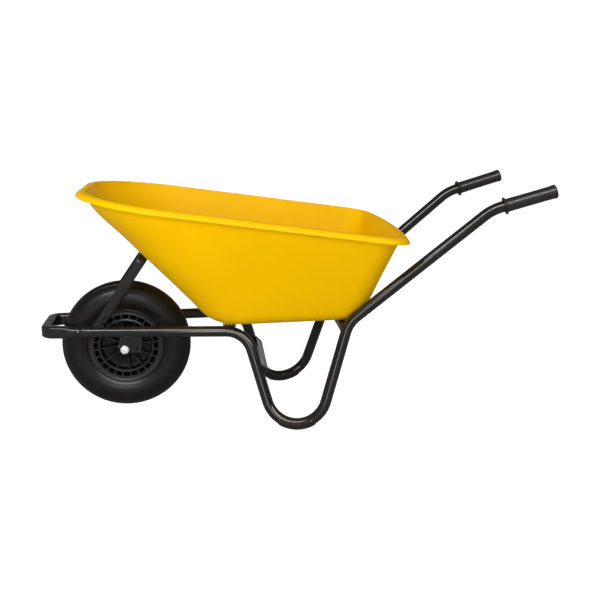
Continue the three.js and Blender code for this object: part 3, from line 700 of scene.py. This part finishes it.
def front_strut():
    """An upside-down U of pressed channel, slotted low on each leg."""
    foot, top, rise, normal, _ = strut_layout()
    corner = Vector((top.x, foot.y, top.z))
    corners = [on_side(foot, -1), on_side(corner, -1), corner, foot]
    path = subdivided(filleted_path(corners, [24, 24], [12, 12]), 12)
    half = STRUT_WIDTH / 2
    channel = [(0, -half), (0, half), (STRUT_DEPTH, half), (STRUT_DEPTH, half - STRUT_WALL),
               (STRUT_WALL, half - STRUT_WALL), (STRUT_WALL, STRUT_WALL - half),
               (STRUT_DEPTH, STRUT_WALL - half), (STRUT_DEPTH, -half)]
    outline = soften(channel, [4, 4, 0.9, 0.9, 1.6, 1.6, 0.9, 0.9], 4)
    made = new_object("strut_channel", skin(sweep(path, lambda _: outline, normal)))
    cutters = tube_cutters(STRUT_FOOT_X)
    below = Vector((foot.x, 0, foot.z - 20))
    cutters.append(block(below, (Vector((1, 0, 0)), WHEEL_AXIS, UP), (160, 300, 40)))
    for side in SIDES.values():
        for height, shift, lean in ((52, 2, -0.2), (34, 6, 0.5)):
            middle = on_side(foot, side) + rise * height + normal * shift
            turn = Quaternion(WHEEL_AXIS, lean)
            cutters.append(block(middle, (turn @ normal, WHEEL_AXIS, turn @ rise), (5, 8, 15)))
    subtract(made, cutters)
    return finish_piece(made, "chassis", "frame_black", ("front_strut",))


# ---- fasteners ----
def bolt_axis(index):
    """Tray bolts 1 to 4 stand on the floor; 5 and 6 go through the front wall."""
    if index <= 4:
        return Vector((-0.059, 0, 1)).normalized()
    return -front_wall(STRUT_TOP_X)[1]


def along_axis(node, axis):
    """A node's centre and its extent either way along an axis."""
    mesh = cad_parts[node].data
    centre = centre_of(node)
    spans = [((vertex.co - ORIGIN) * 1000 - centre).dot(axis) for vertex in mesh.vertices]
    return centre, min(spans), max(spans)


def carriage_bolt(index):
    axis = bolt_axis(index)
    centre, low, high = along_axis(f"tray_bolt_{index}", axis)
    head = high - 4
    thread = [(3.55 if k % 2 else 4.0, low + 0.6 + 0.62 * k) for k in range(1, 26)]
    dome = [(9, head), (9, head + 0.9), (7.9, head + 2.3), (5.6, head + 3.4), (2.8, head + 3.9)]
    profile = [(0, low), (3.3, low), *thread, (4, thread[-1][1] + 0.6), (4, head), *dome, (0, head + 4)]
    return turned(profile, centre, axis, 32)


def washer(node, axis, inner, outer, segments=40):
    centre, low, high = along_axis(node, axis)
    outline = soften([(inner, low), (outer, low), (outer, high), (inner, high)], 0.4, 2)
    return turned([tuple(p) for p in outline], centre, axis, segments)


def hex_nut(node, axis, flats, bore):
    """A nut with turned chamfers on both faces."""
    centre, low, high = along_axis(node, axis)
    turn = UP.rotation_difference(axis)
    corner = flats / 2 / math.cos(math.pi / 6)
    rings = []
    for height, reach in ((low, flats / 2 - 0.3), (low + 0.9, corner), (high - 0.9, corner),
                          (high, flats / 2 - 0.3), (high, bore), (low, bore)):
        ring = []
        for k in range(48):
            angle = 2 * math.pi * k / 48
            to_flat = flats / 2 / math.cos((angle + math.pi / 6) % (math.pi / 3) - math.pi / 6)
            radius = reach if reach == bore else min(reach, to_flat)
            ring.append(turn @ Vector((radius * math.cos(angle), radius * math.sin(angle), height)) + centre)
        rings.append(ring)
    return skin(rings, looped=True)


def axle_cap(side):
    node = "axle_cap_left" if side < 0 else "axle_cap_right"
    axis = Vector((0, side, 0))
    centre, low, high = along_axis(node, axis)
    bore = AXLE_RADIUS + 0.4
    profile = [(0, high), (6, high - 0.3), (9.5, high - 1.0), (11, high - 2.2), (11.6, high - 3.6), (11.8, low + 2.2),
               (12.6, low + 1.9), (12.7, low + 0.3), (12.4, low), (bore, low), (bore, high - 2.5), (0, high - 2.5)]
    return turned(profile, centre, axis, 48)


def axle_rod():
    centre, low, high = along_axis("axle", WHEEL_AXIS)
    profile = [(0, low), (5, low), (6, low + 1), (6, high - 1), (5, high), (0, high)]
    return turned(profile, centre, WHEEL_AXIS, 40)


# ---- wheel ----
def sidewall_relief(angle):
    """How far the tyre's surface stands out at an angle round its section, 0 at the crown."""
    y = math.sin(angle) * TYRE_SECTION
    relief = 0.0
    if abs(angle) < math.radians(48):
        for groove in (-26, -13, 0, 13, 26):
            relief -= 1.5 * math.exp(-((y - groove) / 1.5) ** 2)
    for ring_deg, height, width in ((54, 0.7, 1.6), (78, 0.35, 1.0), (84, 0.35, 1.0), (104, 0.35, 1.8), (117, 0.5, 1.6)):
        relief += height * math.exp(-((abs(math.degrees(angle)) - ring_deg) / width) ** 2)
    return relief


def tyre():
    middle = WHEEL_RADIUS - TYRE_SECTION
    limit = math.radians(128)
    outer = []
    for k in range(241):
        angle = -limit + 2 * limit * k / 240
        radius = TYRE_SECTION + sidewall_relief(angle) - 0.25
        outer.append((middle + radius * math.cos(angle), radius * math.sin(angle)))
    inner_radius = TYRE_SECTION - TYRE_CASING
    inner_limit = math.radians(134)
    inner = [(middle + inner_radius * math.cos(a), inner_radius * math.sin(a))
             for a in [inner_limit - 2 * inner_limit * k / 24 for k in range(25)]]
    seat = SEAT_RADIUS + 0.3
    bead = [(seat + 12, 35.7), (seat + 1, 35.7), (seat, 34.7), (seat, 26.7)]
    mirrored = [(r, -y) for r, y in reversed(bead)]
    crown = max(r for r, _ in outer)
    scale = (WHEEL_RADIUS - middle) / (crown - middle)
    outer = [(middle + (r - middle) * scale, y) for r, y in outer]
    return turned(mirrored + outer + bead + inner, AXLE, WHEEL_AXIS, 144)


RIM_FACE = [                         # radius and y of the rim's face, from the bore to the flange edge
    (15, 44.4), (15.6, 45), (23.2, 45), (24, 44.2), (25, 30), (26.5, 17), (30, 12.5), (38, 10), (71, 8),
    (74.6, 9), (76.2, 12), (76.8, 16), (76.8, 36.6), (77.2, 38.2), (78, 39.4), (79.2, 40), (80.4, 39.6),
    (81.4, 38.8), (82.6, 38.3), (83.6, 38.2), (84, 38), (97, 38), (97.5, 38.2), (99.4, 38.2), (101, 37.6),
    (102.6, 37.2), (104, 37.4), (105.4, 37.9), (107.4, 38.4), (108.8, 38.9),
    (110, 39.3), (111, 40), (112.3, 40), (113.1, 39.4), (113.4, 38.3), (113.4, 36.4), (113, 36),
]
RIM_BARREL = [(101.4, 36), (100.8, 16), (90, 2)]
WINDOW_POCKET = [(0.5, 6), (6.5, 9), (12.5, 18)]  # distance in from the window's inner edge, y there


def rim_columns():
    """Angles round the rim, and which of them are in a window's pocket."""
    pitch = 2 * math.pi / WINDOWS["count"]
    half = WINDOWS["width"] / 2 / WINDOWS["radius"]
    draft = 0.007
    columns = []
    for k in range(WINDOWS["count"]):
        middle = FIRST_RIB + pitch * (k + 0.5)
        for offset in (-half, -half + draft, -half / 2, 0, half / 2, half - draft, half, pitch / 2):
            columns.append((middle + offset, abs(offset) < half))
    return columns


def rim_rows():
    """Rows of the rim's section from the bore outward, with the y of a pocket's floor where it has one."""
    low = WINDOWS["radius"] - WINDOWS["length"] / 2
    rows = []
    for radius, y in RIM_FACE:
        rows.append((radius, y, None))
        if radius == low:
            rows += [(low + inset, y, floor) for inset, floor in WINDOW_POCKET]
    return rows


def rim_shell():
    rows = rim_rows()
    rings = []
    for angle, in_window in rim_columns():
        half = [(r, floor if in_window and floor else y) for r, y, floor in rows]
        half += RIM_BARREL
        section = half + [(r, -y) for r, y in reversed(half)]
        rings.append([Vector((r * math.cos(angle), y, -r * math.sin(angle))) + AXLE for r, y in section])
    return skin(rings, looped=True)


def rim_rib(angle, side):
    """A spoke-like rib from the hub to the inner ring, rounded along its top."""
    out = Vector((math.cos(angle), 0, -math.sin(angle)))
    across = Vector((-out.z, 0, out.x))
    rings = []
    for radius, top in ((22, 30.5), (27, 31), (40, 32), (60, 33.6), (78.2, 35.4)):
        outline = [(-2.6, 6), (-2.1, top - 2.2), (-1.6, top - 0.9), (-0.8, top - 0.2), (0, top), (0.8, top - 0.2),
                   (1.6, top - 0.9), (2.1, top - 2.2), (2.6, 6)]
        rings.append([AXLE + out * radius + across * a + Vector((0, side * y, 0)) for a, y in outline])
    return skin(rings)


def wheel_rim():
    turns = [FIRST_RIB + 2 * math.pi * k / RIB_COUNT for k in range(RIB_COUNT)]
    ribs = [rim_rib(turn, side) for side in SIDES.values() for turn in turns]
    return together([rim_shell(), *ribs])


def valve_line():
    angle = FIRST_RIB + 2 * math.pi / WINDOWS["count"] * (0.5 - 5)
    ends = [AXLE + Vector((r * math.cos(angle), y, -r * math.sin(angle))) for r, y in (VALVE_START, VALVE_END)]
    return ends[0], (ends[1] - ends[0]).normalized(), (ends[1] - ends[0]).length


def inner_tube():
    middle = WHEEL_RADIUS - TYRE_SECTION
    ring = [(middle + a, b) for a, b in circle(TYRE_SECTION - TYRE_CASING - 4, 28)]
    start, axis, length = valve_line()
    stem = [(0, 0), (5.6, 0), (5.6, 2), (4.4, 5), (4, 8), (4, length - 9), (3.6, length - 8), (3.6, length), (0, length)]
    return together([turned(ring, AXLE, WHEEL_AXIS, 96), turned(stem, start, axis, 32)])


def valve_cap():
    """A knurled screw cap."""
    start, axis, length = valve_line()
    turn = UP.rotation_difference(axis)
    profile = [(0, length + GAP), (4.1, length + GAP), (4.1, length - 5), (5.3, length - 5), (5.45, length - 4.4),
               (5.45, length + 0.4), (4.9, length + 1.6), (3.6, length + 2), (0, length + 2)]
    rings = []
    for k in range(72):
        angle = 2 * math.pi * k / 72
        knurl = 1 - 0.035 * (0.5 + 0.5 * math.cos(18 * angle))
        rings.append([turn @ Vector((r * knurl * math.cos(angle), r * knurl * math.sin(angle), h)) + start
                      if r > 4.2 else
                      turn @ Vector((r * math.cos(angle), r * math.sin(angle), h)) + start for r, h in profile])
    return skin(rings, looped=True)


def hub_bush(side):
    centre, low, high = along_axis("hub_bush_left" if side < 0 else "hub_bush_right", Vector((0, side, 0)))
    profile = [(6.1, low), (14.7, low), (14.7, high - 3), (19.4, high - 3), (20, high - 2.4), (20, high - 0.6),
               (19.4, high), (6.7, high), (6.1, high - 0.6)]
    return turned(profile, centre, Vector((0, side, 0)), 48)


# ---- assembly ----
def welds():
    """Beads where the plates and bars meet the side tubes."""
    beads = []
    for side in SIDES.values():
        inner = side * (front_run(-16).y - TUBE_RADIUS - 0.6)
        beads.append(weld(Vector((-14, inner, 243.5)), Vector((48, inner + side * 4, 246)), 2.2))
        for dz in (-4, 4):
            beads.append(weld(Vector((405, side * 166, 163 + dz + 8)), Vector((423, side * 166, 163 + dz - 8)), 2.0))
    return together(beads)


for side_name, side in SIDES.items():
    new_piece(f"side_tube_{side_name}", side_tube(side), "chassis", "frame_black", (f"frame_tube_{side_name}",))
    new_piece(f"shoe_{side_name}", foot_shoe(side), "chassis", "frame_black", (f"foot_shoe_{side_name}",))
    new_piece(f"grip_{side_name}", handle_grip(side), "chassis", "grip_black", (f"handle_grip_{side_name}",), 40)
    new_piece(f"cap_{side_name}", axle_cap(side), "chassis", "zinc_steel", (f"axle_cap_{side_name}",))
    new_piece(f"washer_{side_name}", washer(f"axle_washer_{side_name}", Vector((0, side, 0)), 6.4, 11.7),
              "chassis", "zinc_steel", (f"axle_washer_{side_name}",))
    new_piece(f"spacer_{side_name}", washer(f"axle_spacer_{side_name}", Vector((0, side, 0)), 6.4, 10),
              "chassis", "zinc_steel", (f"axle_spacer_{side_name}",))
    new_piece(f"bush_{side_name}", hub_bush(side), "wheel", "bush_grey", (f"hub_bush_{side_name}",))
    bevelled_copy(f"axle_bracket_{side_name}", "frame_black", 0.8)

new_piece("bumper", front_bumper(), "chassis", "frame_black", ("front_bumper",))
front_strut()
bevelled_copy("leg_brace", "frame_black", 1.0)
bevelled_copy("tray_support_front", "frame_black", 1.2)
bevelled_copy("tray_support_rear", "frame_black", 0.9)
new_piece("weld_beads", welds(), "chassis", "frame_black", sharp_deg=60)
new_piece("tray_moulding", tray_shell(), "chassis", "tray_yellow", ("tray",), 40)
new_piece("tray_corner_ribs", together([corner_rib(x, side) for side in SIDES.values()
                                        for x in (294, 304, 314, 324)]), "chassis", "tray_yellow")
for index in range(1, 7):
    axis = bolt_axis(index)
    new_piece(f"bolt_{index}", carriage_bolt(index), "chassis", "zinc_steel", (f"tray_bolt_{index}",))
    new_piece(f"bolt_washer_{index}", washer(f"tray_washer_{index}", axis, 4.5, 14), "chassis", "zinc_steel",
              (f"tray_washer_{index}",))
    new_piece(f"nut_{index}", hex_nut(f"tray_nut_{index}", axis, 13, 4.35), "chassis", "zinc_steel",
              (f"tray_nut_{index}",))
new_piece("axle_bar", axle_rod(), "chassis", "zinc_steel", ("axle",))
new_piece("tyre_casing", tyre(), "wheel", "tyre_rubber", ("tyre",), 50)
new_piece("rim_moulding", wheel_rim(), "wheel", "rim_black", ("rim",), 38)
new_piece("tube_and_valve", inner_tube(), "wheel", "tube_rubber", ("inner_tube",))
new_piece("valve_screw_cap", valve_cap(), "wheel", "tube_rubber", ("valve_cap",))


# ---- stage, lights and camera ----
def white_floor():
    size = 30000
    corners = [Vector((a * size, b * size, 0)) for a, b in ((-1, -1), (1, -1), (1, 1), (-1, 1))]
    mesh = bpy.data.meshes.new("floor")
    mesh.from_pydata([corner / 1000 for corner in corners], [], [(0, 1, 2, 3)])
    floor = bpy.data.objects.new("floor", mesh)
    bpy.context.scene.collection.objects.link(floor)
    made = principled("floor_white", (FLOOR_ALBEDO,) * 3, 0.9, specular=0.0)
    nodes, links = made.node_tree.nodes, made.node_tree.links
    nodes["Principled BSDF"].inputs["Emission Color"].default_value = (1, 1, 1, 1)
    path = nodes.new("ShaderNodeLightPath")
    glow = nodes.new("ShaderNodeMapRange")
    glow.inputs["To Min"].default_value = FLOOR_GLOW
    glow.inputs["To Max"].default_value = FLOOR_SEEN_GLOW
    links.new(path.outputs["Is Camera Ray"], glow.inputs["Value"])
    links.new(glow.outputs["Result"], nodes["Principled BSDF"].inputs["Emission Strength"])
    mesh.materials.append(made)


def softbox(name, location, target, size, radiance, in_reflections):
    """A rectangular lamp that is either only reflected or only lights, to set gloss and tone apart."""
    light = bpy.data.lights.new(name, "AREA")
    light.shape = "RECTANGLE"
    light.size, light.size_y = size
    light.energy = radiance * math.pi * size[0] * size[1]
    made = bpy.data.objects.new(name, light)
    made.location = location
    made.rotation_euler = (Vector(target) - Vector(location)).to_track_quat("-Z", "Y").to_euler()
    made.visible_glossy = in_reflections
    made.visible_diffuse = not in_reflections
    made.visible_camera = False
    bpy.context.scene.collection.objects.link(made)


def studio_world():
    """White round the horizon, dim overhead; the camera sees plain white behind the object."""
    world = bpy.data.worlds.new("studio")
    bpy.context.scene.world = world
    world.use_nodes = True
    nodes, links = world.node_tree.nodes, world.node_tree.links
    where = nodes.new("ShaderNodeTexCoord")
    split = nodes.new("ShaderNodeSeparateXYZ")
    ramp = nodes.new("ShaderNodeValToRGB")
    for element, (position, level) in zip(ramp.color_ramp.elements, ((0.0, 0.9), (1.0, 0.1))):
        element.position = position
        element.color = (level, level, level, 1)
    for position, level in WORLD_STEPS:
        element = ramp.color_ramp.elements.new(position)
        element.color = (level, level, level, 1)
    seen = nodes.new("ShaderNodeBackground")
    seen.inputs["Strength"].default_value = 1.1
    seen.inputs["Color"].default_value = (1, 1, 1, 1)
    lit = nodes["Background"]
    lit.inputs["Strength"].default_value = WORLD_LIGHT
    path = nodes.new("ShaderNodeLightPath")
    mix = nodes.new("ShaderNodeMixShader")
    links.new(where.outputs["Generated"], split.inputs["Vector"])
    links.new(split.outputs["Z"], ramp.inputs["Fac"])
    links.new(ramp.outputs["Color"], lit.inputs["Color"])
    links.new(path.outputs["Is Camera Ray"], mix.inputs["Fac"])
    links.new(lit.outputs["Background"], mix.inputs[1])
    links.new(seen.outputs["Background"], mix.inputs[2])
    links.new(mix.outputs["Shader"], nodes["World Output"].inputs["Surface"])


def add_camera():
    """Looks level-ish from the barrow's left, a little above it and towards the wheel."""
    yaw, pitch, roll = math.radians(6.17), math.radians(12.35), math.radians(2.06)
    forward = Vector((math.sin(yaw) * math.cos(pitch), math.cos(yaw) * math.cos(pitch), -math.sin(pitch)))
    level = Vector((math.cos(yaw), -math.sin(yaw), 0))
    upright = level.cross(forward)
    right = level * math.cos(roll) + upright * math.sin(roll)
    up = upright * math.cos(roll) - level * math.sin(roll)
    camera = bpy.data.cameras.new("camera")
    camera.lens = 55.8
    camera.sensor_width = 36
    made = bpy.data.objects.new("camera", camera)
    bpy.context.scene.collection.objects.link(made)
    matrix = made.matrix_world.copy()
    for column, direction in enumerate((right, up, -forward)):
        for row in range(3):
            matrix[row][column] = direction[row]
    matrix.translation = Vector((226.91, -2805.02, 953.26)) / 1000 + ORIGIN
    made.matrix_world = matrix
    bpy.context.scene.camera = made


FLOOR_ALBEDO = 0.25
FLOOR_GLOW = 0.1                    # what the floor gives off towards the barrow
FLOOR_SEEN_GLOW = 1.1              # and towards the camera
WORLD_LIGHT = 1.0
WORLD_STEPS = ((0.1, 0.25), (0.3, 0.2), (0.5, 0.1))

white_floor()
studio_world()
softbox("strip", (0, -2.2, 2.6), (0, 0, 0.35), (4.5, 0.5), 18, in_reflections=True)
softbox("key", (-0.6, -2.6, 1.0), (0, 0, 0.25), (0.4, 1.3), 8, in_reflections=True)
softbox("front", (-0.5, -3.2, 1.2), (0, 0, 0.4), (4.6, 2.0), 4.0, in_reflections=False)
softbox("side", (-3.0, -1.0, 1.5), (0.2, 0, 0.5), (1.6, 1.6), 3.6, in_reflections=False)
softbox("overhead", (0, -0.3, 3.3), (0, 0, 0.3), (3.0, 2.4), 1.6, in_reflections=False)
add_camera()
bpy.context.scene.view_settings.view_transform = "Standard"
